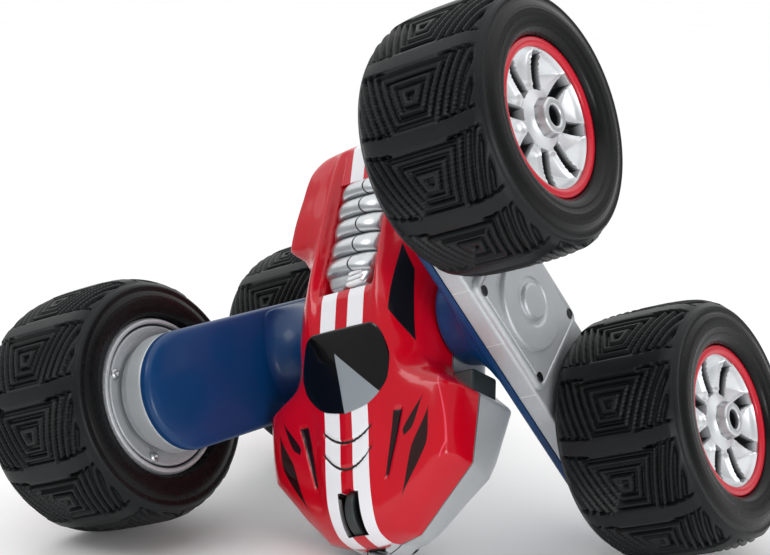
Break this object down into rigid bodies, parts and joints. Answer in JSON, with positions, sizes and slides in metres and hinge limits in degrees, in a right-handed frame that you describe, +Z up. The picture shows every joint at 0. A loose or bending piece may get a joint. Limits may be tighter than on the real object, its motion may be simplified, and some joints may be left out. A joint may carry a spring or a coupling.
{
  "type": "radio-controlled tumbling stunt car",
  "caption": "Radio-controlled stunt car: a narrow fuselage between two geared swing arms that turn full circle, with a balloon-tyred wheel at each arm's ends.",
  "frame": {"origin": "on the floor, under the middle of the car's bounding box, with the car standing on three tyres", "axes": "+Z up from the floor; +X level, along the level projection of the cross axis towards the raised right side; -Y along the left arm towards its front wheel"},
  "size_m": [0.3088, 0.279, 0.2544],
  "materials": {
    "red_shell": "gloss",
    "silver_plastic": "satin metallic",
    "blue_plastic": "gloss",
    "black_gloss": "gloss",
    "engine_silver": "bright satin",
    "tyre": "moulded rubber",
    "rim_silver": "bright satin",
    "red_ring": "gloss",
    "roller": "satin",
    "steel": "plain",
    "screw": "nickel",
    "gear": "nylon",
    "motor": "plated",
    "black_matt": "fine texture",
    "dark_rubber": "satin",
    "board": "solder mask",
    "battery": "shrink sleeve",
    "brass": "turned"
  },
  "bodies": {
    "fuselage": {"upper_shell": "red_shell", "lower_shell": "silver_plastic", "canopy": "black_gloss", "engine_cover": "engine_silver", "nose_lip": "silver_plastic", "roller_pins": "steel", "battery_pack": "battery", "battery_door": "silver_plastic", "circuit_board": "board", "charge_socket": "black_matt", "body_screws": "screw", "pivot_bushes": "black_matt", "flank_blocks": "dark_rubber"},
    "switch": {"power_switch": "black_matt"},
    "nose_roller": {"nose_roller": "roller"},
    "chin_roller": {"chin_roller": "roller"},
    "left_arm": {"left_outer_cover": "silver_plastic", "left_inner_cover": "blue_plastic", "left_arm_screws": "steel", "left_drive_motor": "motor", "left_hub_retainer": "steel"},
    "right_arm": {"right_outer_cover": "silver_plastic", "right_inner_cover": "blue_plastic", "right_arm_screws": "steel", "right_drive_motor": "motor", "right_hub_retainer": "steel"},
    "left_front_wheel": {"left_front_tyre": "tyre", "left_front_rim": "rim_silver", "left_front_rim_ring": "red_ring", "left_front_back_plate": "silver_plastic", "left_front_wheel_screws": "screw", "left_front_drive_gear": "gear"},
    "left_rear_wheel": {"left_rear_tyre": "tyre", "left_rear_rim": "rim_silver", "left_rear_rim_ring": "red_ring", "left_rear_back_plate": "silver_plastic", "left_rear_wheel_screws": "screw", "left_rear_drive_gear": "gear"},
    "left_pinion": {"left_motor_pinion": "brass"},
    "left_front_reduction": {"left_front_reduction_gear": "gear"},
    "left_front_idler": {"left_front_idler_gear": "gear"},
    "left_rear_reduction": {"left_rear_reduction_gear": "gear"},
    "left_rear_idler": {"left_rear_idler_gear": "gear"},
    "right_front_wheel": {"right_front_tyre": "tyre", "right_front_rim": "rim_silver", "right_front_rim_ring": "red_ring", "right_front_back_plate": "silver_plastic", "right_front_wheel_screws": "screw", "right_front_drive_gear": "gear"},
    "right_rear_wheel": {"right_rear_tyre": "tyre", "right_rear_rim": "rim_silver", "right_rear_rim_ring": "red_ring", "right_rear_back_plate": "silver_plastic", "right_rear_wheel_screws": "screw", "right_rear_drive_gear": "gear"},
    "right_pinion": {"right_motor_pinion": "brass"},
    "right_front_reduction": {"right_front_reduction_gear": "gear"},
    "right_front_idler": {"right_front_idler_gear": "gear"},
    "right_rear_reduction": {"right_rear_reduction_gear": "gear"},
    "right_rear_idler": {"right_rear_idler_gear": "gear"}
  },
  "joints": [
    {"name": "left_arm_swing", "type": "hinge", "parent": "fuselage", "child": "left_arm", "pos_m": [-0.01168, 0, 0.09334], "axis": [0.9453, 0, 0.3261], "continuous": true},
    {"name": "right_arm_swing", "type": "hinge", "parent": "fuselage", "child": "right_arm", "pos_m": [-0.01168, 0, 0.09334], "axis": [0.9453, 0, 0.3261], "continuous": true},
    {"name": "left_front_wheel_spin", "type": "hinge", "parent": "left_arm", "child": "left_front_wheel", "pos_m": [-0.1098, -0.0835, 0.05949], "axis": [0.9453, 0, 0.3261], "continuous": true},
    {"name": "left_rear_wheel_spin", "type": "hinge", "parent": "left_arm", "child": "left_rear_wheel", "pos_m": [-0.1098, 0.0835, 0.05949], "axis": [0.9453, 0, 0.3261], "continuous": true},
    {"name": "left_pinion_spin", "type": "hinge", "parent": "left_arm", "child": "left_pinion", "pos_m": [-0.07312, 0, 0.07214], "axis": [0.9453, 0, 0.3261], "continuous": true},
    {"name": "left_front_reduction_spin", "type": "hinge", "parent": "left_arm", "child": "left_front_reduction", "pos_m": [-0.07029, -0.02319, 0.07312], "axis": [0.9453, 0, 0.3261], "continuous": true},
    {"name": "left_front_idler_spin", "type": "hinge", "parent": "left_arm", "child": "left_front_idler", "pos_m": [-0.07029, -0.04755, 0.07312], "axis": [0.9453, 0, 0.3261], "continuous": true},
    {"name": "left_rear_reduction_spin", "type": "hinge", "parent": "left_arm", "child": "left_rear_reduction", "pos_m": [-0.07029, 0.02319, 0.07312], "axis": [0.9453, 0, 0.3261], "continuous": true},
    {"name": "left_rear_idler_spin", "type": "hinge", "parent": "left_arm", "child": "left_rear_idler", "pos_m": [-0.07029, 0.04755, 0.07312], "axis": [0.9453, 0, 0.3261], "continuous": true},
    {"name": "right_front_wheel_spin", "type": "hinge", "parent": "right_arm", "child": "right_front_wheel", "pos_m": [0.1098, 0.04293, 0.05949], "axis": [0.9453, 0, 0.3261], "continuous": true},
    {"name": "right_rear_wheel_spin", "type": "hinge", "parent": "right_arm", "child": "right_rear_wheel", "pos_m": [0.06309, -0.04293, 0.1949], "axis": [0.9453, 0, 0.3261], "continuous": true},
    {"name": "right_pinion_spin", "type": "hinge", "parent": "right_arm", "child": "right_pinion", "pos_m": [0.04977, 0, 0.11454], "axis": [0.9453, 0, 0.3261], "continuous": true},
    {"name": "right_front_reduction_spin", "type": "hinge", "parent": "right_arm", "child": "right_front_reduction", "pos_m": [0.05342, 0.01193, 0.09476], "axis": [0.9453, 0, 0.3261], "continuous": true},
    {"name": "right_front_idler_spin", "type": "hinge", "parent": "right_arm", "child": "right_front_idler", "pos_m": [0.06023, 0.02445, 0.07501], "axis": [0.9453, 0, 0.3261], "continuous": true},
    {"name": "right_rear_reduction_spin", "type": "hinge", "parent": "right_arm", "child": "right_rear_reduction", "pos_m": [0.04044, -0.01193, 0.13237], "axis": [0.9453, 0, 0.3261], "continuous": true},
    {"name": "right_rear_idler_spin", "type": "hinge", "parent": "right_arm", "child": "right_rear_idler", "pos_m": [0.03363, -0.02445, 0.15212], "axis": [0.9453, 0, 0.3261], "continuous": true},
    {"name": "nose_roller_spin", "type": "hinge", "parent": "fuselage", "child": "nose_roller", "pos_m": [0.01145, -0.05407, 0.02629], "axis": [0.9453, 0, 0.3261], "continuous": true},
    {"name": "chin_roller_spin", "type": "hinge", "parent": "fuselage", "child": "chin_roller", "pos_m": [0.01696, -0.03077, 0.01032], "axis": [0.9453, 0, 0.3261], "continuous": true},
    {"name": "power_switch_slide", "type": "slide", "parent": "fuselage", "child": "switch", "axis": [-0.2881, 0.4689, 0.835], "range_m": [0, 0.004]}
  ],
  "couplings": [
    {"joint": "left_rear_wheel_spin", "follows": "left_front_wheel_spin", "ratio": 1},
    {"joint": "left_pinion_spin", "follows": "left_front_wheel_spin", "ratio": -7.2857},
    {"joint": "left_front_reduction_spin", "follows": "left_front_wheel_spin", "ratio": 2.4286},
    {"joint": "left_front_idler_spin", "follows": "left_front_wheel_spin", "ratio": -1.2143},
    {"joint": "left_rear_reduction_spin", "follows": "left_front_wheel_spin", "ratio": 2.4286},
    {"joint": "left_rear_idler_spin", "follows": "left_front_wheel_spin", "ratio": -1.2143},
    {"joint": "right_rear_wheel_spin", "follows": "right_front_wheel_spin", "ratio": 1},
    {"joint": "right_pinion_spin", "follows": "right_front_wheel_spin", "ratio": -7.2857},
    {"joint": "right_front_reduction_spin", "follows": "right_front_wheel_spin", "ratio": 2.4286},
    {"joint": "right_front_idler_spin", "follows": "right_front_wheel_spin", "ratio": -1.2143},
    {"joint": "right_rear_reduction_spin", "follows": "right_front_wheel_spin", "ratio": 2.4286},
    {"joint": "right_rear_idler_spin", "follows": "right_front_wheel_spin", "ratio": -1.2143}
  ]
}
